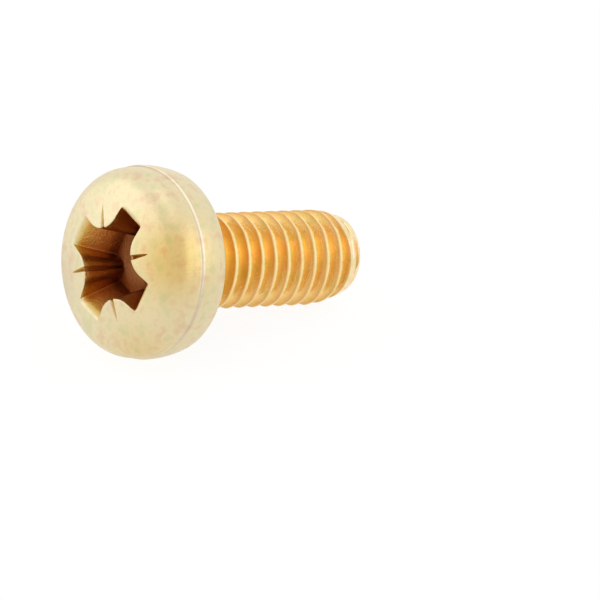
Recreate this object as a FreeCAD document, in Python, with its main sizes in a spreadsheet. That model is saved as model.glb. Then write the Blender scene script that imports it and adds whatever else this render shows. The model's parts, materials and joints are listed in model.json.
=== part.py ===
import FreeCAD, Part
import math
import os
import Sketcher

# Pan head screw, 2.5 mm by 6 mm, with a four-wing cross recess and four tick marks between the wings.
# It is cold formed in one piece: the head is upset and its recess punched, and the thread is rolled on a
# slightly three-lobed shank, up to a short plain neck under the head.
#
# In the body's own frame the axis is Z, the bearing face of the head lies at z = 0, the head stands above
# it and the shank points down. The body is then laid on its side, on the side of the head and a crest near
# the end of the thread, as a loose screw comes to rest.

SCREW_LABEL = "pan_head_screw"

# Driving dimensions in millimetres, degrees and turns, each under the name that it has in the sheet
SIZES = {
    "shank_length": 5.88,
    "head_diameter": 4.95,
    "head_height": 2.06,
    "widest_height": 0.89,
    "crease_height": 0.97,
    "crease_diameter": 4.85,
    "crown_radius": 6.8,
    "shoulder_radius": 0.62,
    "bearing_diameter": 4.64,
    "rim_radius": 0.15,
    "neck_diameter": 2.36,
    "neck_length": 0.55,
    "neck_fillet": 0.12,
    "thread_diameter": 2.48,
    "lobe_height": 0.05,
    "flat_turn": 128.2,
    "rest_turn": 155.0,
    "thread_pitch": 0.45,
    "thread_angle": 60.0,
    "crest_width": 0.06,
    "root_width": 0.10,
    "groove_start": 0.98,
    "runout_turns": 1.0,
    "point_length": 1.10,
    "point_diameter": 2.00,
    "point_rounding": 0.20,
    "end_dish": 0.06,
    "wing_span": 2.86,
    "wing_width": 0.88,
    "lobe_gap": 1.79,
    "recess_depth": 1.05,
    "end_slope": 28.0,
    "side_draft": 2.0,
    "core_diameter": 1.30,
    "core_depth": 0.40,
    "tick_span": 2.94,
    "tick_width": 0.32,
    "tick_depth": 0.15,
    "wall_tick_width": 0.10,
    "wall_tick_depth": 0.05,
}

WING_COUNT = 4
LOBE_COUNT = 3
FULL_TURN = 360.0
HALF_TURN = 180.0
QUARTER_TURN = 90.0

doc = FreeCAD.newDocument("screw")
sheet = doc.addObject("Spreadsheet::Sheet", "Sizes")
for row, (alias, number) in enumerate(SIZES.items(), start=1):
    sheet.set("A%d" % row, alias)
    sheet.set("B%d" % row, str(number))
    sheet.setAlias("B%d" % row, alias)
doc.recompute()


class Measure:
    """A length or an angle, held as a number and as the expression that gives it from the sheet."""

    def __init__(self, value, text):
        self.value = value
        self.text = text

    def joined(self, other, sign, value):
        text = other.text if isinstance(other, Measure) else repr(other)
        return Measure(value, "(%s %s %s)" % (self.text, sign, text))

    def __add__(self, other):
        return self.joined(other, "+", self.value + number_of(other))

    def __sub__(self, other):
        return self.joined(other, "-", self.value - number_of(other))

    def __mul__(self, other):
        return self.joined(other, "*", self.value * number_of(other))

    def __truediv__(self, other):
        return self.joined(other, "/", self.value / number_of(other))

    def __neg__(self):
        return Measure(-self.value, "(0 - %s)" % self.text)


def number_of(measure):
    """Return the plain number of a measure, or of a number."""
    return measure.value if isinstance(measure, Measure) else float(measure)


def cell(alias):
    """Return the measure that the sheet holds under an alias."""
    return Measure(float(sheet.get(alias)), "Sizes." + alias)


def root(measure):
    """Return the square root of a measure."""
    return Measure(math.sqrt(measure.value), "sqrt(%s)" % measure.text)


def tangent(measure):
    """Return the tangent of an angle in degrees."""
    return Measure(math.tan(math.radians(measure.value)), "tan(%s)" % measure.text)


def smaller(first, second):
    """Return the smaller of two measures."""
    return Measure(min(first.value, second.value), "min(%s; %s)" % (first.text, second.text))


def positive(measure):
    """Return a measure without its sign."""
    return Measure(abs(measure.value), "abs(%s)" % measure.text)


ZERO = Measure(0.0, "0")

body = doc.addObject("PartDesign::Body", "Screw")
body.Label = SCREW_LABEL
doc.recompute()
origin = {feature.Role: feature for feature in body.Origin.OriginFeatures}


def add_sketch(name, plane, height=ZERO, turn=ZERO):
    """Add an empty sketch on an origin plane, lifted by a height along its normal and turned about it."""
    sketch = body.newObject("Sketcher::SketchObject", name)
    sketch.AttachmentSupport = [(origin[plane], "")]
    sketch.MapMode = "FlatFace"
    sketch.AttachmentOffset = FreeCAD.Placement(
        FreeCAD.Vector(0, 0, height.value),
        FreeCAD.Rotation(FreeCAD.Vector(0, 0, 1), turn.value),
    )
    if height is not ZERO:
        sketch.setExpression("AttachmentOffset.Base.z", height.text)
    if turn is not ZERO:
        sketch.setExpression("AttachmentOffset.Rotation.Angle", turn.text)
    return sketch


def bind(sketch, constraint, measure):
    """Add a constraint to a sketch and tie its value to the sheet."""
    index = sketch.addConstraint(constraint)
    sketch.setExpression("Constraints[%d]" % index, measure.text)


def place_corner(sketch, edge, end, x, y):
    """Hold one end of an edge, or a circle's centre, at the measures x and y from the sketch's origin."""
    for kind, measure, along in (("DistanceX", x, "X"), ("DistanceY", y, "Y")):
        if abs(measure.value) < 1e-9:
            axis = -2 if along == "X" else -1
            sketch.addConstraint(Sketcher.Constraint("PointOnObject", edge, end, axis))
        elif measure.value > 0:
            bind(sketch, Sketcher.Constraint(kind, -1, 1, edge, end, measure.value), measure)
        else:
            bind(sketch, Sketcher.Constraint(kind, edge, end, -1, 1, -measure.value), -measure)


def draw_outline(sketch, corners):
    """Draw a closed outline from its corners.

    Each corner is (x, y) or (x, y, radius), where the radius makes an arc of the edge that starts there.
    A positive radius bulges to the right of the way along the outline, and a negative one to the left.
    """
    count = len(corners)
    for index, corner in enumerate(corners):
        following = corners[(index + 1) % count]
        start = FreeCAD.Vector(corner[0].value, corner[1].value, 0)
        end = FreeCAD.Vector(following[0].value, following[1].value, 0)
        if len(corner) == 2:
            sketch.addGeometry(Part.LineSegment(start, end), False)
            continue
        radius = corner[2].value
        chord = end - start
        side = FreeCAD.Vector(chord.y, -chord.x, 0).normalize()
        rise = abs(radius) - math.sqrt(radius ** 2 - (chord.Length / 2) ** 2)
        middle = (start + end) / 2 + side * math.copysign(rise, radius)
        arc = Part.Arc(start, middle, end)
        sketch.addGeometry(arc, False)
    for index, corner in enumerate(corners):
        before = (index - 1) % count
        start_end = first_end(corners, index)
        sketch.addConstraint(
            Sketcher.Constraint("Coincident", before, 3 - first_end(corners, before), index, start_end)
        )
        place_corner(sketch, index, start_end, corner[0], corner[1])
        if len(corner) == 3:
            size = corner[2] if corner[2].value > 0 else -corner[2]
            bind(sketch, Sketcher.Constraint("Radius", index, size.value), size)


def first_end(corners, index):
    """Return which end of an edge its outline reaches first: an arc runs counter-clockwise."""
    clockwise = len(corners[index]) == 3 and corners[index][2].value < 0
    return 2 if clockwise else 1


def remove_more(before, feature):
    """Raise an error unless a feature took material away from the solid before it."""
    doc.recompute()
    if not feature.Shape.Volume < before - 1e-6:
        raise RuntimeError("%s removes nothing" % feature.Name)
    return feature.Shape.Volume


# Head and shank blank: half of the section, turned about the axis. The crown is an arc down to the
# shoulder, the side of the head bulges to its widest under the crease, and the end of the point is dished.
head_radius = cell("head_diameter") / 2
crease_radius = cell("crease_diameter") / 2
bearing_radius = cell("bearing_diameter") / 2
neck_radius = cell("neck_diameter") / 2
thread_radius = cell("thread_diameter") / 2
lobe_radius = thread_radius + cell("lobe_height")
point_radius = cell("point_diameter") / 2
crown_radius = cell("crown_radius")
head_height = cell("head_height")
widest_height = cell("widest_height")
crown_centre = head_height - crown_radius
shoulder_height = crown_centre + root(crown_radius * crown_radius - crease_radius * crease_radius)
bulge = head_radius - bearing_radius
side_radius = (bulge * bulge + widest_height * widest_height) / (bulge * 2)
thread_top = -cell("neck_length")
thread_step = positive(lobe_radius - neck_radius)
point_top = cell("point_length") - cell("shank_length")
tip = -cell("shank_length")
dish = cell("end_dish")
dish_radius = (point_radius * point_radius + dish * dish) / (dish * 2)

section = add_sketch("BlankSection", "XZ_Plane")
draw_outline(section, [
    (ZERO, tip + dish, -dish_radius),
    (point_radius, tip),
    (lobe_radius, point_top),
    (lobe_radius, thread_top - thread_step),
    (neck_radius, thread_top),
    (neck_radius, ZERO),
    (bearing_radius, ZERO, side_radius),
    (head_radius, widest_height),
    (crease_radius, cell("crease_height")),
    (crease_radius, shoulder_height, crown_radius),
    (ZERO, head_height),
])
blank = body.newObject("PartDesign::Revolution", "Blank")
blank.Profile = section
blank.ReferenceAxis = (section, ["V_Axis"])
blank.Angle = FULL_TURN
doc.recompute()


def ring_edge(feature, radius, height):
    """Return the name of the feature's circular edge that has a radius and lies at a height."""
    for index, edge in enumerate(feature.Shape.Edges, start=1):
        if edge.Degenerated or not isinstance(edge.Curve, Part.Circle):
            continue
        curve = edge.Curve
        if abs(curve.Radius - radius.value) < 1e-4 and abs(curve.Center.z - height.value) < 1e-4:
            return "Edge%d" % index
    raise RuntimeError("no ring of radius %.3f at height %.3f" % (radius.value, height.value))


def round_ring(name, feature, radius, height, size):
    """Round one ring edge of a feature by a size from the sheet."""
    fillet = body.newObject("PartDesign::Fillet", name)
    fillet.Base = (feature, [ring_edge(feature, radius, height)])
    fillet.setExpression("Radius", size.text)
    doc.recompute()
    return fillet


shoulder_size = smaller(cell("shoulder_radius"), shoulder_height - cell("crease_height"))
shoulder = round_ring("Shoulder", blank, crease_radius, shoulder_height, shoulder_size)
rim = round_ring("Rim", shoulder, bearing_radius, ZERO, cell("rim_radius"))
neck = round_ring("NeckFillet", rim, neck_radius, ZERO, cell("neck_fillet"))
rounded = round_ring("PointRounding", neck, point_radius, tip, cell("point_rounding"))
volume = rounded.Shape.Volume

# Three-lobed shank: outside the lobes, each third of the shank follows a larger arc centred on the far
# side, so that the width over the shank stays the same all round.
LOBE_SHARE = 1 - math.sqrt(3) / 2
lobe_offset = cell("lobe_height") / LOBE_SHARE
flat_arc = thread_radius + lobe_offset * (math.sqrt(3) / 2)
flat_sketch = add_sketch("LobeFlat", "XY_Plane", thread_top, cell("flat_turn"))
for index, radius in enumerate((flat_arc, flat_arc * 2)):
    centre = FreeCAD.Vector(-lobe_offset.value, 0, 0)
    flat_sketch.addGeometry(Part.Circle(centre, FreeCAD.Vector(0, 0, 1), radius.value), False)
    place_corner(flat_sketch, index, 3, -lobe_offset, ZERO)
    bind(flat_sketch, Sketcher.Constraint("Radius", index, radius.value), radius)
flat = body.newObject("PartDesign::Pocket", "LobeFlatCut")
flat.Profile = flat_sketch
flat.setExpression("Length", cell("shank_length").text)
volume = remove_more(volume, flat)
flats = body.newObject("PartDesign::PolarPattern", "LobeFlats")
flats.Originals = [flat]
flats.Axis = (flat_sketch, ["N_Axis"])
flats.Angle = FULL_TURN
flats.Occurrences = LOBE_COUNT
body.Tip = flats
volume = remove_more(volume, flats)

# Thread groove: two flanks at half the thread angle and a narrow flat root. It starts under the neck and
# runs out past the point, so that the crests are cut lower as the point tapers.
half_angle = cell("thread_angle") / 2
root_reach = cell("root_width") / 2
half_groove = (cell("thread_pitch") - cell("crest_width")) / 2
groove_depth = (half_groove - root_reach) / tangent(half_angle)
groove_root = thread_radius - groove_depth
outside = lobe_radius + cell("thread_pitch")
outside_reach = root_reach + (outside - groove_root) * tangent(half_angle)
groove_height = -cell("groove_start")

groove_section = add_sketch("GrooveSection", "XZ_Plane")
draw_outline(groove_section, [
    (groove_root, groove_height + root_reach),
    (groove_root, groove_height - root_reach),
    (outside, groove_height - outside_reach),
    (outside, groove_height + outside_reach),
])


def cut_helix(name, downwards, pitch, height, growth):
    """Cut the groove's section along a right-hand helix about the screw's axis."""
    helix = body.newObject("PartDesign::SubtractiveHelix", name)
    helix.Profile = groove_section
    helix.ReferenceAxis = (groove_section, ["V_Axis"])
    helix.Mode = "height-turns-growth"
    helix.LeftHanded = False
    helix.Reversed = downwards
    helix.setExpression("Height", height.text)
    helix.setExpression("Turns", (height / pitch).text)
    helix.setExpression("Growth", growth.text)
    return helix


pitch = cell("thread_pitch")
thread_length = cell("shank_length") + groove_height + pitch
thread = cut_helix("Thread", True, pitch, thread_length, ZERO)
volume = remove_more(volume, thread)
runout_growth = (lobe_radius - groove_root) / cell("runout_turns")
runout = cut_helix("Runout", False, pitch, pitch * cell("runout_turns"), runout_growth)
volume = remove_more(volume, runout)

# Cross recess: each wing keeps almost its whole width with depth, while its end slopes in towards the axis.
# A round lobe joins each wing to the next, and starts at the same share of the wing all the way down.
ROOT_TWO = math.sqrt(2)
half_wing = cell("wing_width") / 2
half_span = cell("wing_span") / 2
half_gap = cell("lobe_gap") / 2
lobe_start = half_wing + (half_gap - half_wing * ROOT_TWO) / (ROOT_TWO - 1)
mouth_height = crown_centre + root(crown_radius * crown_radius - half_span * half_span)
floor_height = mouth_height - cell("recess_depth")


class CrossOutline:
    """The recess's half measures at a height."""

    def __init__(self, height):
        rise = height - mouth_height
        self.span = half_span + rise * tangent(cell("end_slope"))
        self.wing = half_wing + rise * tangent(cell("side_draft"))
        self.start = lobe_start * self.span / half_span
        self.round = self.start - self.wing
        self.gap = self.start * ROOT_TWO - self.round

    def corners(self):
        """Return the outline's corners, wing by wing."""
        turned = [
            lambda a, b: (a, b),
            lambda a, b: (-b, a),
            lambda a, b: (-a, -b),
            lambda a, b: (b, -a),
        ]
        found = []
        for turn in turned:
            found.append(turn(self.start, -self.wing))
            found.append(turn(self.span, -self.wing))
            found.append(turn(self.span, self.wing))
            found.append((*turn(self.start, self.wing), -self.round))
        return found


EIGHTH_TURN = Measure(QUARTER_TURN / 2, repr(QUARTER_TURN / 2))
mouth_outline = CrossOutline(head_height)
floor_outline = CrossOutline(floor_height)
mouth = add_sketch("RecessMouth", "XY_Plane", head_height, EIGHTH_TURN)
draw_outline(mouth, mouth_outline.corners())
floor = add_sketch("RecessFloor", "XY_Plane", floor_height, EIGHTH_TURN)
draw_outline(floor, floor_outline.corners())
recess = body.newObject("PartDesign::SubtractiveLoft", "Recess")
recess.Profile = mouth
recess.Sections = [(floor, [""])]
recess.Ruled = True
volume = remove_more(volume, recess)

core_section = add_sketch("CoreSection", "XZ_Plane")
draw_outline(core_section, [
    (ZERO, floor_height - cell("core_depth")),
    (cell("core_diameter") / 2, floor_height),
    (ZERO, floor_height),
])
core = body.newObject("PartDesign::Groove", "Core")
core.Profile = core_section
core.ReferenceAxis = (core_section, ["V_Axis"])
core.Angle = FULL_TURN
volume = remove_more(volume, core)

# Tick marks: a narrow notch on top of each lobe, which gets shallower and narrower outwards on the crown,
# and a fine one of even size that runs on down the lobe's wall
half_tick = cell("tick_span") / 2
tick_end_height = crown_centre + root(crown_radius * crown_radius - half_tick * half_tick)
TICK_END_SHARE = 0.01


def draw_notch(name, distance, bottom, half_width):
    """Draw a notch's section across the X axis, at a distance from the screw's axis."""
    sketch = add_sketch(name, "YZ_Plane", distance)
    draw_outline(sketch, [
        (ZERO, bottom),
        (half_width, head_height),
        (-half_width, head_height),
    ])
    return sketch


def draw_wall_notch(name, height, outline):
    """Draw the section of a lobe wall's notch at a height."""
    depth = cell("wall_tick_depth")
    sketch = add_sketch(name, "XY_Plane", height)
    draw_outline(sketch, [
        (outline.gap + depth, ZERO),
        (outline.gap - depth, cell("wall_tick_width")),
        (outline.gap - depth, -cell("wall_tick_width")),
    ])
    return sketch


def cut_notch(name, start, end):
    """Cut a notch between two sections."""
    notch = body.newObject("PartDesign::SubtractiveLoft", name)
    notch.Profile = start
    notch.Sections = [(end, [""])]
    notch.Ruled = True
    return notch


wall_tick = cut_notch(
    "WallTick",
    draw_wall_notch("WallTickTop", head_height, mouth_outline),
    draw_wall_notch("WallTickFoot", floor_height, floor_outline),
)
volume = remove_more(volume, wall_tick)
tick = cut_notch(
    "Tick",
    draw_notch("TickStart", half_gap / 2, head_height - cell("tick_depth"), cell("tick_width") / 2),
    draw_notch("TickEnd", half_tick, tick_end_height, cell("tick_width") * TICK_END_SHARE),
)
volume = remove_more(volume, tick)
ticks = body.newObject("PartDesign::PolarPattern", "Ticks")
ticks.Originals = [wall_tick, tick]
ticks.Axis = (mouth, ["N_Axis"])
ticks.Angle = FULL_TURN
ticks.Occurrences = WING_COUNT
body.Tip = ticks
volume = remove_more(volume, ticks)

# Rest on a flat surface: the side arc of the head and one thread crest touch it together. As the point sinks,
# the crest that reaches the surface first is the one that needs the smallest tilt; those on the point's taper
# are lower. The side of the shank that faces down is a little flatter than a lobe.
rest_turn = cell("rest_turn").value
flat_spacing = FULL_TURN / LOBE_COUNT
off_flat = (cell("flat_turn").value - rest_turn + flat_spacing / 2) % flat_spacing - flat_spacing / 2
rest_reach = flat_arc.value - lobe_offset.value * math.cos(math.radians(off_flat))
rest_radius = min(rest_reach, lobe_radius.value)
taper = (lobe_radius.value - point_radius.value) / cell("point_length").value


def tilt_on(crest_height):
    """Return the tilt, in degrees, at which the head and the crest at a height touch the surface."""
    crest_radius = min(rest_radius, point_radius.value + (crest_height - tip.value) * taper)
    reach = widest_height.value - crest_height
    offset = head_radius.value - side_radius.value - crest_radius
    return math.degrees(math.atan2(offset, reach) + math.asin(side_radius.value / math.hypot(offset, reach)))


crest_height = groove_height.value + pitch.value * (rest_turn / FULL_TURN - 0.5)
crest_count = math.floor((crest_height - tip.value) / pitch.value)
outer_half = range(crest_count // 2, crest_count + 1)
tilt = min(tilt_on(crest_height - pitch.value * index) for index in outer_half)
roll = FreeCAD.Rotation(FreeCAD.Vector(0, 0, 1), HALF_TURN - rest_turn)
lay = FreeCAD.Rotation(FreeCAD.Vector(0, 1, 0), tilt - QUARTER_TURN)
body.Placement = FreeCAD.Placement(FreeCAD.Vector(), lay * roll)
doc.recompute()
box = body.Shape.optimalBoundingBox()
foot = FreeCAD.Vector((box.XMin + box.XMax) / 2, (box.YMin + box.YMax) / 2, box.ZMin)
body.Placement = FreeCAD.Placement(-foot, lay * roll)
doc.recompute()

for item in doc.Objects:
    if "Invalid" in item.State or "Error" in item.State:
        raise RuntimeError("%s has failed" % item.Name)
if body.Shape.isNull() or not body.Shape.isValid() or len(body.Shape.Solids) != 1:
    raise RuntimeError("the screw is not one valid solid")

os.makedirs("parts", exist_ok=True)
body.Shape.exportStep(os.path.join("parts", body.Label + ".step"))
print("tilt %.3f degrees, volume %.3f mm3, foot %s" % (tilt, body.Shape.Volume, tuple(foot)))
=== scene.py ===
import json
import logging
import math
from dataclasses import dataclass
from enum import Enum
from typing import Callable, Iterator

import bmesh
import bpy
from mathutils import Matrix, Vector


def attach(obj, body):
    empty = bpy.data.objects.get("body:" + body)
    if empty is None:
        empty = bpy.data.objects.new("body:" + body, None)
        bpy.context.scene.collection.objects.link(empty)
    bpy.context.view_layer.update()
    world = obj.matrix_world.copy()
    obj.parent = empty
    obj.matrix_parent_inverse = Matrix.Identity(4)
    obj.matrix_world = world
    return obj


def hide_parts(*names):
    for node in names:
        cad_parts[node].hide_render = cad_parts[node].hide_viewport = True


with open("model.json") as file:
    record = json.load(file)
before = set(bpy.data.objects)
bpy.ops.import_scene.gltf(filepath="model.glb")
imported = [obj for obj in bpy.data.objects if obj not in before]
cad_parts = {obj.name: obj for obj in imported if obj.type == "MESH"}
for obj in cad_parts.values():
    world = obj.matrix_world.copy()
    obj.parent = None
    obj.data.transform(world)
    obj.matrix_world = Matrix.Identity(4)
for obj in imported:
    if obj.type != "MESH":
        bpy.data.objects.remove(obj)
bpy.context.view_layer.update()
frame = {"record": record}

log = logging.getLogger("pan_head_screw")

MM = 0.001
FULL_TURN = 2 * math.pi
ROOT_TWO = math.sqrt(2)
FILM_AND_SHADE = "film"
# How near two places lie when they count as one, and how near two vertices are merged, in millimetres.
TOUCH = 1e-4
MERGE = 1e-5
Loop = dict[bmesh.types.BMVert, int]
Stops = tuple[tuple[float, str], ...]


class Skin(Enum):
    """The finishes of the screw, in the order of the mesh's material slots."""

    HEAD = 0
    SHANK = 1
    RECESS = 2


def bearing_face() -> dict:
    """Return the record's mount for the flat underside of the head."""
    return next(mount for mount in frame["record"]["mounts"] if mount["name"] == "bearing_face")


def smooth_min(first: float, second: float, reach: float) -> float:
    """Blend two values into their lower one, rounded where they cross.

    Args:
        first: One value.
        second: The other value.
        reach: How far apart the two may be and still be blended.

    Returns:
        The lower value, or less where the two are nearly the same.
    """
    nearness = max(reach - abs(first - second), 0.0) / reach
    return min(first, second) - nearness * nearness * reach / 4


def arc_points(
    centre: tuple[float, float], radius: float, start: float, end: float, steps: int
) -> Iterator[tuple[float, float]]:
    """Give the points of an arc in a section.

    Args:
        centre: The arc's centre, as radius from the axis and height.
        radius: The arc's radius.
        start: The first point's angle in radians.
        end: The last point's angle in radians.
        steps: How many pieces the arc is cut into.

    Yields:
        Each point, as radius from the axis and height.
    """
    for step in range(steps + 1):
        angle = start + (end - start) * step / steps
        yield centre[0] + radius * math.cos(angle), centre[1] + radius * math.sin(angle)


def extrude_loop(bm: bmesh.types.BMesh, loop: Loop, place: Callable[[int], Vector], skin: Skin) -> Loop:
    """Extrude a closed loop of edges once and put each new vertex in its place.

    Args:
        bm: The mesh.
        loop: The loop's vertices and the column that each belongs to.
        place: Gives the new place of a column's vertex.
        skin: The finish of the new faces.

    Returns:
        The new loop, with the same columns.
    """
    edges = [edge for edge in bm.edges if edge.is_boundary and all(vert in loop for vert in edge.verts)]
    made = bmesh.ops.extrude_edge_only(bm, edges=edges)["geom"]
    for face in (item for item in made if isinstance(item, bmesh.types.BMFace)):
        face.material_index = skin.value
    following = {}
    for vert in (item for item in made if isinstance(item, bmesh.types.BMVert)):
        column = next(
            loop[edge.other_vert(vert)] for edge in vert.link_edges if edge.other_vert(vert) in loop
        )
        following[vert] = column
    for vert, column in following.items():
        vert.co = place(column)
    return following


@dataclass(frozen=True)
class Seat:
    """How the screw lies: it turns the screw's own frame into the frame that all pieces share.

    In the screw's own frame the axis is Z, the bearing face is at z = 0 and the head stands above it.
    """

    rest_turn: float = math.radians(155.0)

    def matrix(self) -> Matrix:
        """Work out the screw's place.

        Returns:
            The matrix from the screw's own millimetres to the shared metres.
        """
        face = bearing_face()
        up = -Vector(face["axis"]).normalized()
        side = Vector((0, 1, 0))
        turned = Matrix((side.cross(up), side, up)).transposed().to_4x4()
        roll = Matrix.Rotation(math.pi - self.rest_turn, 4, "Z")
        return Matrix.Translation(face["pos_m"]) @ turned @ roll @ Matrix.Scale(MM, 4)


@dataclass(frozen=True)
class Head:
    """The domed head, from the edge of the recess round to the neck below it. Sizes in millimetres."""

    columns: int = 192
    head_radius: float = 2.475
    head_height: float = 2.06
    widest_height: float = 0.89
    crease_height: float = 0.97
    crease_radius: float = 2.425
    crown_radius: float = 6.8
    shoulder_radius: float = 0.62
    bearing_radius: float = 2.32
    rim_radius: float = 0.15
    neck_radius: float = 1.18
    neck_fillet: float = 0.12
    neck_end: float = -0.30
    crown_ring: float = 1.62
    crease_round: float = 0.02
    crown_steps: int = 8
    shoulder_steps: int = 12
    side_steps: int = 12
    fillet_steps: int = 6
    crease_segments: int = 3

    @property
    def underside(self) -> float:
        """Return the height below which the head's faces count as its underside."""
        return self.rim_radius / 4

    def crown_height(self, radius: float) -> float:
        """Return the crown's height at a radius from the axis."""
        return self.head_height - self.crown_radius + math.sqrt(self.crown_radius ** 2 - radius ** 2)

    def section(self) -> list[tuple[float, float]]:
        """Work out half of the head's section.

        Returns:
            Its points as radius and height, from the crown ring out and round to the neck.
        """
        crown_centre = self.head_height - self.crown_radius
        inner = self.crown_radius - self.shoulder_radius
        shoulder = self.crease_radius - self.shoulder_radius
        shoulder_height = crown_centre + math.sqrt(inner ** 2 - shoulder ** 2)
        shoulder_angle = math.acos(shoulder / inner)
        ring_angle = math.acos(self.crown_ring / self.crown_radius)
        bulge = self.head_radius - self.bearing_radius
        side_radius = (bulge ** 2 + self.widest_height ** 2) / (2 * bulge)
        side = (self.head_radius - side_radius, self.widest_height)
        rim_reach = side_radius - self.rim_radius
        rim_drop = self.widest_height - self.rim_radius
        rim_angle = -math.asin(rim_drop / rim_reach)
        rim = (side[0] + rim_reach * math.cos(rim_angle), self.rim_radius)
        neck = (self.neck_radius + self.neck_fillet, -self.neck_fillet)
        quarter = math.pi / 2
        crown_arc = arc_points(
            (0, crown_centre), self.crown_radius, ring_angle, shoulder_angle, self.crown_steps
        )
        shoulder_arc = arc_points(
            (shoulder, shoulder_height), self.shoulder_radius, shoulder_angle, 0, self.shoulder_steps
        )
        side_arc = arc_points(side, side_radius, 0, rim_angle, self.side_steps)
        rim_arc = arc_points(rim, self.rim_radius, rim_angle, -quarter, self.fillet_steps)
        neck_arc = arc_points(neck, self.neck_fillet, quarter, 2 * quarter, self.fillet_steps)
        return [
            *crown_arc,
            *list(shoulder_arc)[1:],
            (self.crease_radius, self.crease_height),
            *side_arc,
            *list(rim_arc)[1:],
            *neck_arc,
            (self.neck_radius, self.neck_end),
        ]

    def build(self, bm: bmesh.types.BMesh) -> Loop:
        """Turn the section about the axis.

        Args:
            bm: The mesh to build in.

        Returns:
            The open ring on the crown, with its columns.
        """
        verts = [bm.verts.new((radius, 0, height)) for radius, height in self.section()]
        edges = [bm.edges.new(pair) for pair in zip(verts, verts[1:])]
        bmesh.ops.spin(
            bm, geom=verts + edges, cent=(0, 0, 0), axis=(0, 0, 1), dvec=(0, 0, 0),
            angle=FULL_TURN, steps=self.columns, use_merge=True, use_duplicate=False,
        )
        widest = (self.head_radius, self.widest_height)
        creases = [edge for edge in bm.edges if all(self.on_ring(vert, *widest) for vert in edge.verts)]
        bmesh.ops.bevel(
            bm, geom=creases, offset=self.crease_round, offset_type="OFFSET",
            segments=self.crease_segments, profile=0.5, affect="EDGES", material=-1,
        )
        for face in bm.faces:
            below = face.calc_center_median().z < self.underside
            face.material_index = Skin.SHANK.value if below else Skin.HEAD.value
        step = FULL_TURN / self.columns
        crown_edge = (self.crown_ring, self.crown_height(self.crown_ring))
        ring = [vert for vert in bm.verts if self.on_ring(vert, *crown_edge)]
        return {vert: round(math.atan2(vert.co.y, vert.co.x) / step) % self.columns for vert in ring}

    @staticmethod
    def on_ring(vert: bmesh.types.BMVert, radius: float, height: float) -> bool:
        """Return whether a vertex lies on a ring round the axis."""
        return abs(vert.co.xy.length - radius) < TOUCH and abs(vert.co.z - height) < TOUCH


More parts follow.
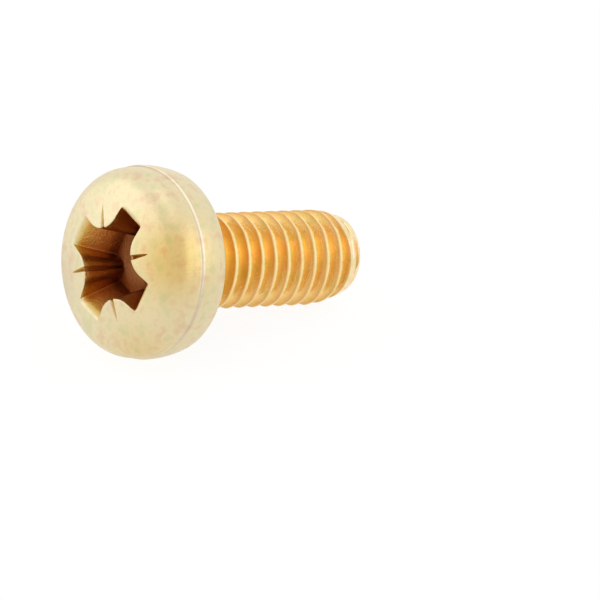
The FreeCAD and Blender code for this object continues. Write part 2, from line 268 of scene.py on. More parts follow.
@dataclass(frozen=True)
class Recess:
    """The cross recess with its tick marks, pressed into the crown. Sizes in millimetres.

    A rise is a height above the mouth at the ends of the wings. The wings get a little narrower and a lot
    shorter with depth, and the round lobe between two wings starts at the same share of the wing all the
    way down.
    """

    head: Head
    half_span: float = 1.43
    half_wing: float = 0.44
    half_gap: float = 0.895
    depth: float = 1.05
    end_slope: float = math.radians(28.0)
    side_draft: float = math.radians(2.0)
    core_radius: float = 0.65
    core_depth: float = 0.40
    core_inset: float = 0.01
    lip_round: float = 0.03
    end_lip_round: float = 0.14
    lip_growth: float = 3.0
    corner_round: float = 0.006
    tick_end: float = 1.47
    tick_half_width: float = 0.07
    tick_depth: float = 0.15
    wall_tick_depth: float = 0.05
    tick_narrowest: float = 0.012
    crown_rows: int = 12
    lip_rows: int = 4
    wall_rows: int = 12
    lobe_columns: int = 12
    side_columns: int = 4
    corner_columns: int = 2
    mouth_rounds: int = 8

    @property
    def mouth_height(self) -> float:
        """Return the height of the mouth at the ends of the wings."""
        return self.head.crown_height(self.half_span)

    @property
    def floor_height(self) -> float:
        """Return the height of the recess's floor."""
        return self.mouth_height - self.depth

    def outline(self, column: int, rise: float) -> Vector:
        """Work out the recess's outline at a rise.

        Args:
            column: The column, counted round the axis from the middle of a lobe.
            rise: The height above the mouth at the ends of the wings.

        Returns:
            The column's point on the outline, from the axis.
        """
        quarter = self.head.columns // 4
        turn, place = divmod(column % self.head.columns, quarter)
        mirrored = place > quarter // 2
        point = self.half_quarter(quarter - place if mirrored else place, rise)
        if mirrored:
            point = Vector((point.y, point.x))
        return Matrix.Rotation(turn * FULL_TURN / 4, 2) @ point

    def half_quarter(self, place: int, rise: float) -> Vector:
        """Work out the outline between the middle of a lobe and the middle of the next wing.

        Args:
            place: The column, counted from the middle of the lobe.
            rise: The height above the mouth at the ends of the wings.

        Returns:
            The point on the outline, from the axis.
        """
        span = self.half_span + rise * math.tan(self.end_slope)
        wing = self.half_wing + rise * math.tan(self.side_draft)
        lobe_start = self.half_wing + (self.half_gap - self.half_wing * ROOT_TWO) / (ROOT_TWO - 1)
        start = lobe_start * span / self.half_span
        if place <= self.lobe_columns:
            angle = math.pi / 4 * place / self.lobe_columns
            radius = start - wing
            return Vector((start * ROOT_TWO - radius * math.cos(angle), radius * math.sin(angle)))
        if place <= self.lobe_columns + self.side_columns:
            share = (place - self.lobe_columns) / self.side_columns
            along, across = start + (span - self.corner_round - start) * share, -wing
        else:
            end_columns = self.head.columns // 8 - self.lobe_columns - self.side_columns
            share = (place - self.lobe_columns - self.side_columns) / end_columns
            corner_share = self.corner_columns / end_columns
            if share <= corner_share:
                angle = math.pi / 2 * share / corner_share
                along = span - self.corner_round * (1 - math.sin(angle))
                across = self.corner_round * (1 - math.cos(angle)) - wing
            else:
                end_share = (share - corner_share) / (1 - corner_share)
                along = span
                across = (self.corner_round - wing) * (1 - end_share)
        return Matrix.Rotation(FULL_TURN / 8, 2) @ Vector((along, across))

    def mouth_rise(self, column: int) -> float:
        """Find the rise at which a column of the wall comes out of the crown.

        Args:
            column: The column, counted round the axis.

        Returns:
            The rise, found in a few rounds, because the outline widens as it rises.
        """
        rise = 0.0
        for _ in range(self.mouth_rounds):
            rise = self.head.crown_height(self.outline(column, rise).length) - self.mouth_height
        return rise

    def on_crown(self, column: int, share: float) -> Vector:
        """Work out a place on the crown between its open ring and the recess's mouth.

        Args:
            column: The column, counted round the axis.
            share: 0 at the ring and 1 at the mouth.

        Returns:
            The place in the screw's own frame.
        """
        angle = FULL_TURN * column / self.head.columns
        ring = Vector((math.cos(angle), math.sin(angle))) * self.head.crown_ring
        flat = ring.lerp(self.outline(column, self.mouth_rise(column)), share)
        return self.notched(column, Vector((flat.x, flat.y, self.head.crown_height(flat.length))), False)

    def on_wall(self, column: int, share: float) -> Vector:
        """Work out a place on the recess's wall.

        Args:
            column: The column, counted round the axis.
            share: 0 at the mouth and 1 at the floor.

        Returns:
            The place in the screw's own frame.
        """
        top = self.mouth_rise(column)
        rise = top - (top + self.depth) * share
        flat = self.outline(column, rise)
        return self.notched(column, Vector((flat.x, flat.y, self.mouth_height + rise)), True)

    def notched(self, column: int, place: Vector, on_wall: bool) -> Vector:
        """Press the tick mark into a place, where its columns run.

        A mark takes three columns: the deep one in the middle of the lobe, and its edge on either side.

        Args:
            column: The column, counted round the axis.
            place: The place on the crown or on the wall.
            on_wall: Whether the place is on the wall.

        Returns:
            The place with the notch pressed in.
        """
        quarter = self.head.columns // 4
        turn, beside = divmod(column + 1, quarter)
        if beside > 2:
            return place
        back = Matrix.Rotation(-turn * FULL_TURN / 4, 3, "Z")
        local = back @ place
        inward = (self.tick_end - local.x) / (self.tick_end - self.half_gap)
        growth = math.sqrt(min(max(inward, 0.0), 1.0))
        if beside == 1 and on_wall:
            local.x += self.wall_tick_depth
        elif beside == 1:
            local.z -= self.tick_depth * growth
        elif local.x < self.tick_end:
            local.y = (beside - 1) * max(self.tick_half_width * growth, self.tick_narrowest)
        return back.inverted() @ local

    def build(self, bm: bmesh.types.BMesh, loop: Loop) -> None:
        """Close the crown from its open ring over the lip and down the wall to the core.

        Args:
            bm: The mesh to build in.
            loop: The crown's open ring.
        """
        for row in range(1, self.crown_rows + 1):
            share = row / (self.crown_rows + 1)
            loop = extrude_loop(bm, loop, lambda column: self.before_lip(column, share), Skin.HEAD)
        for row in range(self.lip_rows + 1):
            share = row / self.lip_rows
            skin = Skin.HEAD if share <= 0.5 else Skin.RECESS
            loop = extrude_loop(bm, loop, lambda column: self.on_lip(column, share), skin)
        for row in range(1, self.wall_rows + 1):
            share = row / self.wall_rows
            loop = extrude_loop(bm, loop, lambda column: self.below_lip(column, share), Skin.RECESS)
        loop = extrude_loop(bm, loop, self.on_core, Skin.RECESS)
        apex = Vector((0, 0, self.floor_height - self.core_depth))
        loop = extrude_loop(bm, loop, lambda column: apex, Skin.RECESS)
        bmesh.ops.pointmerge(bm, verts=list(loop), merge_co=apex)

    def lip_reach(self, column: int) -> float:
        """Work out how far the lip is rounded: crisp at the lobes and soft at the ends of the wings.

        Args:
            column: The column, counted round the axis.

        Returns:
            The reach of the rounding from the corner, on the crown and down the wall.
        """
        quarter = self.head.columns // 4
        place = column % quarter
        beside = self.lobe_columns + self.side_columns
        inward = min(place, quarter - place) - beside
        share = min(max(inward / (quarter / 2 - beside), 0.0) * self.lip_growth, 1.0)
        return self.lip_round + (self.end_lip_round - self.lip_round) * share

    def before_lip(self, column: int, share: float) -> Vector:
        """Return a place on the crown, from its open ring at 0 to the lip's start at 1."""
        length = (self.on_crown(column, 0.0) - self.on_wall(column, 0.0)).xy.length
        return self.on_crown(column, share * (1 - self.lip_reach(column) / length))

    def below_lip(self, column: int, share: float) -> Vector:
        """Return a place on the wall, from the lip's end at 0 to the floor at 1."""
        start = self.lip_reach(column) / self.depth
        return self.on_wall(column, start + (1 - start) * share)

    def on_lip(self, column: int, share: float) -> Vector:
        """Work out a place on the rounded lip.

        Args:
            column: The column, counted round the axis.
            share: 0 where the lip leaves the crown and 1 where it meets the wall.

        Returns:
            The place in the screw's own frame.
        """
        corner = self.on_wall(column, 0.0)
        before = self.before_lip(column, 1.0)
        after = self.below_lip(column, 0.0)
        near = before.lerp(corner, share)
        far = corner.lerp(after, share)
        return near.lerp(far, share)

    def on_core(self, column: int) -> Vector:
        """Return a place on the rim of the core cone, in the middle of the floor."""
        foot = self.on_wall(column, 1.0)
        rim = foot.xy.normalized() * min(self.core_radius, foot.xy.length - self.core_inset)
        return Vector((rim.x, rim.y, self.floor_height))


@dataclass(frozen=True)
class Shank:
    """The three-lobed, threaded shank with its tapered point. Sizes in millimetres."""

    columns: int = 160
    rows_per_pitch: int = 24
    length: float = 5.88
    neck_radius: float = Head.neck_radius
    neck_end: float = Head.neck_end
    thread_top: float = -0.55
    thread_radius: float = 1.24
    lobe_height: float = 0.05
    flat_turn: float = math.radians(128.2)
    pitch: float = 0.45
    half_angle: float = math.radians(30.0)
    crest_width: float = 0.06
    root_radius: float = 0.10
    groove_start: float = -0.98
    runout_turns: float = 1.0
    point_length: float = 1.10
    point_radius: float = 1.00
    point_rounding: float = 0.20
    end_dish: float = 0.06
    crest_round: float = 0.018
    blend_reach: float = 0.02
    runout_lift: float = 1.5
    spare_turns: int = 2
    seam_share: float = 0.05
    point_steps: int = 8
    dish_rings: int = 5

    @property
    def lobe_radius(self) -> float:
        """Return the radius of the section at the middle of a lobe."""
        return self.thread_radius + self.lobe_height

    @property
    def apex_radius(self) -> float:
        """Return the radius at which the flanks of the thread's groove would meet."""
        return self.thread_radius - (self.pitch - self.crest_width) / 2 / math.tan(self.half_angle)

    def lobed_radius(self, angle: float) -> float:
        """Work out the three-lobed section, a circle with three flatter arcs in it.

        Args:
            angle: The angle round the axis in radians.

        Returns:
            The section's radius.
        """
        offset = self.lobe_height / (1 - math.sqrt(3) / 2)
        arc = self.thread_radius + offset * math.sqrt(3) / 2
        radius = self.lobe_radius
        for flat in range(3):
            turn = angle - self.flat_turn - flat * FULL_TURN / 3
            flat_radius = math.sqrt(arc ** 2 - (offset * math.sin(turn)) ** 2) - offset * math.cos(turn)
            radius = min(radius, flat_radius)
        return radius

    def blank_radius(self, angle: float, height: float) -> float:
        """Work out the unthreaded shank, from the neck over the lobed part to the tapered point.

        Args:
            angle: The angle round the axis in radians.
            height: The height, which is below zero all along the shank.

        Returns:
            The shank's radius.
        """
        taper_start = self.point_length - self.length
        taper = (self.lobe_radius - self.point_radius) / self.point_length
        tapered = self.lobe_radius - taper * max(taper_start - height, 0.0)
        radius = smooth_min(self.lobed_radius(angle), tapered, self.blend_reach)
        neck_reach = self.neck_radius + max(self.thread_top - height, 0.0)
        return smooth_min(radius, neck_reach, self.blend_reach)

    def groove_radius(self, angle: float, height: float) -> float:
        """Work out the thread's groove, which follows the lobes and gets shallower at the run-out.

        Args:
            angle: The angle round the axis in radians.
            height: The height of the place.

        Returns:
            The radius that the groove cuts down to.
        """
        rise = height - self.groove_start - self.pitch * angle / FULL_TURN
        turns = math.floor(rise / self.pitch + 0.5)
        across = abs(rise - turns * self.pitch)
        centre = self.apex_radius + self.root_radius / math.sin(self.half_angle)
        if across < self.root_radius * math.cos(self.half_angle):
            radius = centre - math.sqrt(self.root_radius ** 2 - across ** 2)
        else:
            radius = self.apex_radius + across / math.tan(self.half_angle)
        travelled = turns + angle / FULL_TURN
        lift = min(max(travelled / self.runout_turns, 0.0), self.runout_lift)
        flattening = self.lobe_radius - self.lobed_radius(angle)
        return radius - flattening + lift * (self.thread_radius - self.apex_radius)

    def thread_rise(self, angle: float, height: float) -> float:
        """Work out how far up the thread a place is.

        Args:
            angle: The angle round the axis in radians.
            height: The height of the place.

        Returns:
            0 at the root and 1 on a crest.
        """
        section = self.lobed_radius(angle)
        root = section - (self.lobe_radius - self.apex_radius)
        top = min(self.blank_radius(angle, height), section)
        return min(max((self.groove_radius(angle, height) - root) / (top - root), 0.0), 1.0)

    def radius(self, angle: float, height: float) -> float:
        """Return the threaded shank's radius at an angle and a height."""
        groove = self.groove_radius(angle, height)
        return smooth_min(self.blank_radius(angle, height), groove, self.crest_round)

    def build(self, bm: bmesh.types.BMesh) -> None:
        """Turn a line about the axis along the helix, press the thread in and close the point.

        Args:
            bm: The mesh to build in, which is left open at the neck.
        """
        bottom = -self.length - self.spare_turns * self.pitch
        pitches = math.ceil((self.neck_end - bottom) / self.pitch) + 1
        start = bm.verts.new((1, 0, bottom))
        end = bm.verts.new((1, 0, bottom + pitches * self.pitch))
        line = bm.edges.new((start, end))
        bmesh.ops.subdivide_edges(bm, edges=[line], cuts=pitches * self.rows_per_pitch - 1)
        geom = [*bm.verts, *bm.edges]
        bmesh.ops.spin(
            bm, geom=geom, cent=(0, 0, 0), axis=(0, 0, 1), dvec=(0, 0, self.pitch / self.columns),
            angle=FULL_TURN, steps=self.columns, use_merge=False, use_duplicate=False,
        )
        row_height = self.pitch / self.rows_per_pitch
        bmesh.ops.remove_doubles(bm, verts=bm.verts, dist=row_height * self.seam_share)
        for vert in bm.verts:
            angle = math.atan2(vert.co.y, vert.co.x)
            radius = self.radius(angle, vert.co.z)
            vert.co.xy = Vector((math.cos(angle), math.sin(angle))) * radius
        self.trim(bm, self.neck_end, Vector((0, 0, 1)))
        taper = math.atan((self.lobe_radius - self.point_radius) / self.point_length)
        rounding = (math.pi / 2 - taper) / 2
        edge_rise = self.point_rounding * math.tan(rounding) * math.cos(taper)
        self.trim(bm, edge_rise - self.length, Vector((0, 0, -1)))
        self.close_point(bm, taper)
        for face in bm.faces:
            face.material_index = Skin.SHANK.value

    @staticmethod
    def trim(bm: bmesh.types.BMesh, height: float, beyond: Vector) -> None:
        """Cut away all that lies beyond a height."""
        geom = [*bm.verts, *bm.edges, *bm.faces]
        bmesh.ops.bisect_plane(
            bm, geom=geom, dist=MERGE, plane_co=(0, 0, height), plane_no=beyond, clear_outer=True
        )

    def close_point(self, bm: bmesh.types.BMesh, taper: float) -> None:
        """Round the point's edge and close its dished end.

        Args:
            bm: The mesh, open at the point.
            taper: The taper's slope in radians.
        """
        start_height = min(vert.co.z for vert in bm.verts)
        ring = [vert for vert in bm.verts if vert.co.z < start_height + TOUCH]
        start_radius = sum(vert.co.xy.length for vert in ring) / len(ring)
        centre = (
            start_radius - self.point_rounding * math.cos(taper),
            start_height + self.point_rounding * math.sin(taper),
        )
        loop = {vert: index for index, vert in enumerate(ring)}
        angles = [math.atan2(vert.co.y, vert.co.x) for vert in ring]
        path = list(arc_points(centre, self.point_rounding, -taper, -math.pi / 2, self.point_steps))[1:]
        end_radius, end_height = path[-1]
        for ring_number in range(1, self.dish_rings):
            share = 1 - ring_number / self.dish_rings
            dish = self.end_dish * (1 - share ** 2)
            path.append((end_radius * share, end_height + dish))
        for radius, height in path:
            loop = extrude_loop(
                bm, loop,
                lambda index: Vector((
                    radius * math.cos(angles[index]), radius * math.sin(angles[index]), height
                )),
                Skin.SHANK,
            )
        apex = Vector((0, 0, end_height + self.end_dish))
        loop = extrude_loop(bm, loop, lambda index: apex, Skin.SHANK)
        bmesh.ops.pointmerge(bm, verts=list(loop), merge_co=apex)


def linear(colour: str) -> tuple[float, float, float, float]:
    """Turn an sRGB hex colour into linear values.

    Args:
        colour: The colour as #rrggbb.

    Returns:
        Red, green, blue and an alpha of 1.
    """
    parts = (int(colour[place:place + 2], 16) / 255 for place in (1, 3, 5))
    red, green, blue = (
        part / 12.92 if part <= 0.04045 else ((part + 0.055) / 1.055) ** 2.4 for part in parts
    )
    return red, green, blue, 1.0


def add_node(
    material: bpy.types.ID, kind: str, settings: dict | None = None, inputs: dict | None = None
) -> bpy.types.Node:
    """Add a node with its settings and links.

    Args:
        material: The material or world whose tree gets the node.
        kind: The node's type.
        settings: The node's own properties.
        inputs: Each input's socket to read from, or its value.

    Returns:
        The new node.
    """
    node = material.node_tree.nodes.new(kind)
    for name, value in (settings or {}).items():
        setattr(node, name, value)
    for name, value in (inputs or {}).items():
        if isinstance(value, bpy.types.NodeSocket):
            material.node_tree.links.new(value, node.inputs[name])
        else:
            node.inputs[name].default_value = value
    return node


def set_stops(ramp: bpy.types.ColorRamp, stops: Stops) -> None:
    """Set a colour ramp's stops.

    Args:
        ramp: The ramp of a new node, which has two stops.
        stops: Each stop's position and sRGB hex colour, from the lowest.
    """
    ramp.elements[1].position = 1.0
    for position, _ in stops[2:]:
        ramp.elements.new(position)
    for element, (position, colour) in zip(ramp.elements, stops):
        element.position = position
        element.color = linear(colour)


@dataclass(frozen=True)
class Plating:
    """Zinc plating with a yellow passivation film, over rolled or pressed steel.

    The film is thin and uneven, so the metal shows cream to gold with faint clouds of other tints. The
    piece's film attribute carries the film's thickness together with painted light and shade, and the
    finish's colour stops give the colour at each of its values, painted highlights and painted shade among
    them.
    """

    name: str
    film_and_shade_colours: Stops
    cloud_colours: Stops
    cloud_strength: float
    cloud_mm: float
    roughness: float
    grain_strength: float
    cloud_detail: float = 4.0
    cloud_roughness: float = 0.6
    grain_mm: float = 0.05
    grain_detail: float = 3.0

    def make(self) -> bpy.types.Material:
        """Make the material.

        Returns:
            The material, whose patterns are placed by the piece's own coordinates and film.
        """
        material = bpy.data.materials.new(self.name)
        material.use_nodes = True
        shader = material.node_tree.nodes["Principled BSDF"]
        shader.inputs["Metallic"].default_value = 1.0
        shader.inputs["Roughness"].default_value = self.roughness
        place = add_node(material, "ShaderNodeTexCoord").outputs["Object"]
        colour = self.film_colour(material, place)
        material.node_tree.links.new(colour, shader.inputs["Base Color"])
        grain = add_node(
            material, "ShaderNodeTexNoise",
            inputs={"Vector": place, "Scale": 1 / (self.grain_mm * MM), "Detail": self.grain_detail},
        )
        bump = add_node(
            material, "ShaderNodeBump",
            inputs={
                "Height": grain.outputs["Fac"], "Strength": self.grain_strength,
                "Distance": self.grain_mm * MM,
            },
        )
        material.node_tree.links.new(bump.outputs["Normal"], shader.inputs["Normal"])
        return material

    def film_colour(self, material: bpy.types.Material, place: bpy.types.NodeSocket) -> bpy.types.NodeSocket:
        """Add the nodes that colour the film.

        Args:
            material: The material.
            place: The socket with the piece's own coordinates.

        Returns:
            The socket with the film's colour, clouded.
        """
        # The film attribute carries painted light and shade as well as the film, so this ramp paints them
        # into the base colour.
        film = add_node(material, "ShaderNodeAttribute", {"attribute_name": FILM_AND_SHADE})
        colour = add_node(material, "ShaderNodeValToRGB", inputs={"Fac": film.outputs["Fac"]})
        set_stops(colour.color_ramp, self.film_and_shade_colours)
        clouds = add_node(
            material, "ShaderNodeTexNoise",
            inputs={
                "Vector": place, "Scale": 1 / (self.cloud_mm * MM), "Detail": self.cloud_detail,
                "Roughness": self.cloud_roughness,
            },
        )
        tint = add_node(material, "ShaderNodeValToRGB", inputs={"Fac": clouds.outputs["Fac"]})
        set_stops(tint.color_ramp, self.cloud_colours)
        clouded = add_node(
            material, "ShaderNodeMix", {"data_type": "RGBA", "blend_type": "MULTIPLY"},
            {0: self.cloud_strength, 6: colour.outputs["Color"], 7: tint.outputs["Color"]},
        )
        return clouded.outputs[2]


# On the head the colour runs from a pale painted highlight on part of the crease's edge, over greyish
# painted shade and the crown's own cream, to beige-gold painted shade in soft patches and amber to brown
# painted shade that deepens down the recess.
# On the shank the thread's gold carries painted light: a bright painted reflection in the root, darker
# painted shade below each crest and a pale painted highlight on the crests.
HEAD_FILM_AND_SHADE = (
    (0.00, "#fff4d8"), (0.10, "#d8c8b0"), (0.20, "#eadfbc"), (0.26, "#e0c585"), (0.34, "#d8aa5a"),
    (0.55, "#d29d5c"), (0.85, "#bf8652"), (1.00, "#8c5a38"),
)
THREAD_GOLD_AND_PAINTED_LIGHT = (
    (0.00, "#fff6cc"), (0.35, "#fde29c"), (0.65, "#f0c67c"), (0.90, "#dcab66"), (0.97, "#f2d6a6"),
    (1.00, "#fbe6bd"),
)
PINK_TO_GREEN = ((0.34, "#f4ddd2"), (0.50, "#fffaf0"), (0.66, "#e9eeda"))
ROSE_TO_OLIVE = ((0.34, "#f8e0c8"), (0.50, "#fffaee"), (0.66, "#e6ecc2"))

FINISHES = {
    # Cold-headed steel, zinc plated and passivated. The die leaves a satin surface, so the crown shows broad
    # soft lights in cream, with faint pink and green clouds a few tenths of a millimetre wide.
    Skin.HEAD: Plating(
        name="yellow_zinc_head", film_and_shade_colours=HEAD_FILM_AND_SHADE, cloud_colours=PINK_TO_GREEN,
        cloud_strength=0.7, cloud_mm=0.42, roughness=0.34, grain_strength=0.2,
    ),
    # Rolled thread with the same plating. Rolling burnishes it, so it shines more than the head, in gold,
    # with a bright painted reflection in each root, painted shade below each crest and a pale painted
    # highlight along each crest.
    Skin.SHANK: Plating(
        name="yellow_zinc_shank", film_and_shade_colours=THREAD_GOLD_AND_PAINTED_LIGHT, cloud_colours=ROSE_TO_OLIVE,
        cloud_strength=0.6, cloud_mm=0.45, roughness=0.22, grain_strength=0.15,
    ),
    # The punched recess. Light bounces between its walls, and its colour adds painted shade,
    # amber near the mouth and brown further down.
    Skin.RECESS: Plating(
        name="yellow_zinc_recess", film_and_shade_colours=HEAD_FILM_AND_SHADE, cloud_colours=PINK_TO_GREEN,
        cloud_strength=0.8, cloud_mm=0.30, roughness=0.30, grain_strength=0.2,
    ),
}


@dataclass(frozen=True)
class PaintedShade:
    """A soft patch of painted shade on the head, which raises the film value for beige-gold or lowers it for
    greyish. Sizes in millimetres.
    """

    centre: tuple[float, float, float]
    reach: float
    film: float

    def share(self, place: Vector) -> float:
        """Return what the patch adds to the film at a place in the screw's own frame."""
        away = (place - Vector(self.centre)).length / self.reach
        return self.film * math.exp(-away * away)


@dataclass(frozen=True)
class Screw:
    """The whole screw, one piece of steel."""

    head: Head = Head()
    shank: Shank = Shank()
    seat: Seat = Seat()
    crown_film: float = 0.20
    # The turn at which the crease's edge gets its painted highlight.
    crease_glint_turn: float = math.radians(315.0)
    neck_film: float = 0.55
    # How far up from the point's end the pale painted highlight reaches.
    tip_highlight_band: float = 0.30
    sharp_angle: float = math.radians(38.0)
    # Soft patches of painted shade on the head.
    painted_shades: tuple[PaintedShade, ...] = (
        PaintedShade((-0.25, -2.1, 1.7), 1.1, 0.07),
        PaintedShade((-2.3, -0.3, 1.3), 0.9, 0.04),
        PaintedShade((-0.1, 2.2, 1.4), 0.7, -0.08),
    )

    def film(self, place: Vector) -> float:
        """Work out the film value that the finish colours by, painted light and shade included.

        Args:
            place: A place on the screw, in its own frame.

        Returns:
            On the head it runs from the painted highlight on the crease at 0, over the crown's cream, to the
            painted shade deep in the recess at 1; on the shank it is the rise from the thread's root, and
            the point's end counts as a crest, which paints it pale.
        """
        if place.z < self.head.neck_end:
            # Painted highlight: the point's end takes the pale colour of a crest.
            if place.z < self.tip_highlight_band - self.shank.length:
                return 1.0
            # The rise picks the thread's colour: a bright painted reflection in the root, painted shade
            # below the crest and a pale painted highlight on the crest.
            return self.shank.thread_rise(math.atan2(place.y, place.x), place.z)
        if place.z < self.head.underside:
            return self.neck_film
        return self.head_film_and_shade(place)

    def head_film_and_shade(self, place: Vector) -> float:
        """Work out the film on the head.

        It is painted pale along part of the crease's edge as a highlight and greyish a quarter turn away as
        shade, soft patches of painted shade lie on the crown, and it rises with the depth in the recess and
        the tick marks, which paints their shade.

        Args:
            place: A place on the head, in the screw's own frame.

        Returns:
            The film value, with its painted light and shade, from 0 to 1.
        """
        radius = place.xy.length
        edge = abs(place.z - self.head.widest_height)
        # Painted highlight and shade: the crease's edge is pale on one side and greyish a quarter turn away.
        if radius > self.head.crease_radius - TOUCH and edge < 2 * self.head.crease_round:
            turn = math.atan2(place.y, place.x) - self.crease_glint_turn
            return self.crown_film * (0.5 - 0.5 * math.cos(turn))
        # Painted shade: soft patches turn the crown beige-gold or greyish.
        film = self.crown_film + sum(tint.share(place) for tint in self.painted_shades)
        # Painted shade: the film value rises with depth below the crown, so the recess and the tick marks
        # turn amber and brown.
        if radius < self.head.crown_ring:
            centre = Vector((0, 0, self.head.head_height - self.head.crown_radius))
            depth = self.head.crown_radius - (place - centre).length
            film += max(depth, 0.0) * (1 - self.crown_film)
        return min(film, 1.0)

    def build(self) -> bpy.types.Object:
        """Build the screw's mesh, dress it and seat it.

        Returns:
            The screw's object.
        """
        bm = bmesh.new()
        self.shank.build(bm)
        shank_mesh = bpy.data.meshes.new("shank_only")
        bm.to_mesh(shank_mesh)
        bm.clear()
        crown_ring = self.head.build(bm)
        Recess(self.head).build(bm, crown_ring)
        bm.from_mesh(shank_mesh)
        bpy.data.meshes.remove(shank_mesh)
        neck = [edge for edge in bm.edges if edge.is_boundary]
        bridged = bmesh.ops.bridge_loops(bm, edges=neck)
        for face in bridged["faces"]:
            face.material_index = Skin.SHANK.value
        bmesh.ops.remove_doubles(bm, verts=bm.verts, dist=MERGE)
        bmesh.ops.recalc_face_normals(bm, faces=bm.faces)
        film = bm.verts.layers.float.new(FILM_AND_SHADE)
        for vert in bm.verts:
            vert[film] = self.film(vert.co)
        bmesh.ops.transform(bm, matrix=self.seat.matrix(), verts=bm.verts)
        log.info("open edges: %d", sum(not edge.is_manifold for edge in bm.edges))
        mesh = bpy.data.meshes.new("plated_screw")
        bm.to_mesh(mesh)
        bm.free()
        mesh.shade_smooth()
        mesh.set_sharp_from_angle(angle=self.sharp_angle)
        piece = bpy.data.objects.new("plated_screw", mesh)
        bpy.context.scene.collection.objects.link(piece)
        for skin in Skin:
            mesh.materials.append(FINISHES[skin].make())
        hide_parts("pan_head_screw")
        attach(piece, "root")
        return piece


@dataclass(frozen=True)
class View:
    """The photograph's camera, placed by where the middle of the bearing face shows in its frame."""

    image_size: float = 600.0
    focal_pixels: float = 7195.3
    seat_pixel: tuple[float, float] = (166.5, 261.2)
    distance_mm: float = 183.1
    azimuth: float = math.radians(-40.55)
    elevation: float = math.radians(21.69)
    sensor_mm: float = 36.0
    nearest: float = 0.01
    farthest: float = 10.0

    def build(self) -> None:
        """Add the camera and make it the scene's own."""
        data = bpy.data.cameras.new("photo_view")
        data.sensor_width = self.sensor_mm
        data.lens = self.focal_pixels * self.sensor_mm / self.image_size
        data.clip_start = self.nearest
        data.clip_end = self.farthest
        camera = bpy.data.objects.new("photo_view", data)
        bpy.context.scene.collection.objects.link(camera)
        turn = Matrix.Rotation(self.azimuth, 4, "Z") @ Matrix.Rotation(math.pi / 2 - self.elevation, 4, "X")
        right = (self.seat_pixel[0] - self.image_size / 2) / self.focal_pixels
        up = (self.image_size / 2 - self.seat_pixel[1]) / self.focal_pixels
        toward = turn.to_3x3() @ Vector((right, up, -1.0)) * self.distance_mm * MM
        camera.matrix_world = Matrix.Translation(Vector(bearing_face()["pos_m"]) - toward) @ turn
        bpy.context.scene.camera = camera


@dataclass(frozen=True)
class Lamp:
    """A large square lamp that faces the screw, with its place and size in metres and its power in watts."""

    name: str
    place: tuple[float, float, float]
    size: float
    power: float

    def build(self) -> None:
        """Add the lamp."""
        data = bpy.data.lights.new(self.name, "AREA")
        data.size = self.size
        data.energy = self.power
        lamp = bpy.data.objects.new(self.name, data)
        bpy.context.scene.collection.objects.link(lamp)
        lamp.location = self.place
        lamp.rotation_euler = (-Vector(self.place)).to_track_quat("-Z", "Y").to_euler()


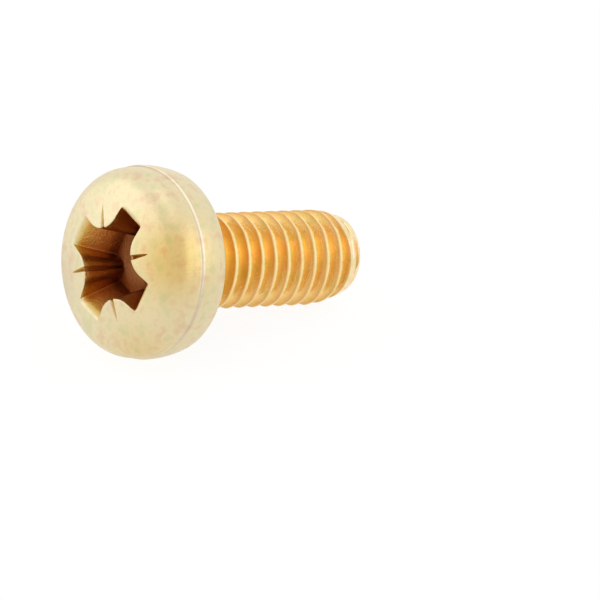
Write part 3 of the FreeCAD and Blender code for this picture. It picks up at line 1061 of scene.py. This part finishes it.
@dataclass(frozen=True)
class Studio:
    """A pale floor, a white surround and large soft lamps.

    The lamp behind on the left shows in the crown, the one in front on the right in the head's side and the
    thread, and the one above keeps the shadow under the screw.
    """

    floor_size: float = 0.6
    floor_colour: str = "#f4f4f2"
    floor_glow: float = 1.12
    glow_share: float = 0.8
    world_level: float = 0.55
    lamps: tuple[Lamp, ...] = (
        Lamp("back_left", (-0.21, 0.21, 0.07), 0.30, 0.10),
        Lamp("front_right", (0.15, -0.25, 0.06), 0.30, 0.14),
        Lamp("top", (0.0, 0.0, 0.30), 0.20, 0.03),
    )

    def build(self) -> None:
        """Add the floor, the world and the lamps."""
        self.add_floor()
        self.add_world()
        for lamp in self.lamps:
            lamp.build()
        bpy.context.scene.view_settings.view_transform = "Standard"

    @staticmethod
    def shows_white(material: bpy.types.ID) -> bpy.types.NodeSocket:
        """Add the nodes that tell the light that is seen from the light that falls on things.

        Args:
            material: The material or world.

        Returns:
            A socket that is 1 for what the camera, gloss and glass see.
        """
        path = add_node(material, "ShaderNodeLightPath")
        seen = add_node(
            material, "ShaderNodeMath", {"operation": "MAXIMUM"},
            {0: path.outputs["Is Camera Ray"], 1: path.outputs["Is Glossy Ray"]},
        )
        clear = add_node(
            material, "ShaderNodeMath", {"operation": "MAXIMUM"},
            {0: seen.outputs[0], 1: path.outputs["Is Transmission Ray"]},
        )
        return clear.outputs[0]

    def add_floor(self) -> None:
        """Lay the floor under the screw, white to the eye but with the screw's shadow."""
        bm = bmesh.new()
        bmesh.ops.create_grid(bm, x_segments=1, y_segments=1, size=self.floor_size / 2)
        mesh = bpy.data.meshes.new("floor")
        bm.to_mesh(mesh)
        bm.free()
        floor = bpy.data.objects.new("floor", mesh)
        bpy.context.scene.collection.objects.link(floor)
        material = bpy.data.materials.new("pale_floor")
        material.use_nodes = True
        nodes = material.node_tree.nodes
        nodes.remove(nodes["Principled BSDF"])
        paint = add_node(material, "ShaderNodeBsdfDiffuse", inputs={"Color": linear(self.floor_colour)})
        white = add_node(
            material, "ShaderNodeEmission", inputs={"Color": (1, 1, 1, 1), "Strength": self.floor_glow}
        )
        share = add_node(
            material, "ShaderNodeMath", {"operation": "MULTIPLY"},
            {0: self.shows_white(material), 1: self.glow_share},
        )
        both = add_node(
            material, "ShaderNodeMixShader",
            inputs={0: share.outputs[0], 1: paint.outputs[0], 2: white.outputs[0]},
        )
        material.node_tree.links.new(both.outputs[0], nodes["Material Output"].inputs["Surface"])
        mesh.materials.append(material)

    def add_world(self) -> None:
        """Surround the screw with soft light, and with white for what the eye and gloss see."""
        world = bpy.data.worlds.new("white_surround")
        bpy.context.scene.world = world
        world.use_nodes = True
        nodes = world.node_tree.nodes
        soft = nodes["Background"]
        soft.inputs["Color"].default_value = (1, 1, 1, 1)
        soft.inputs["Strength"].default_value = self.world_level
        white = add_node(world, "ShaderNodeBackground", inputs={"Color": (1, 1, 1, 1), "Strength": 1.0})
        both = add_node(
            world, "ShaderNodeMixShader",
            inputs={0: self.shows_white(world), 1: soft.outputs[0], 2: white.outputs[0]},
        )
        world.node_tree.links.new(both.outputs[0], nodes["World Output"].inputs["Surface"])


def main() -> None:
    """Build the screw, its studio and its camera."""
    logging.basicConfig(level=logging.INFO, format="%(name)s: %(message)s")
    piece = Screw().build()
    log.info("%s has %d faces", piece.name, len(piece.data.polygons))
    Studio().build()
    View().build()


if __name__ == "__main__":
    main()
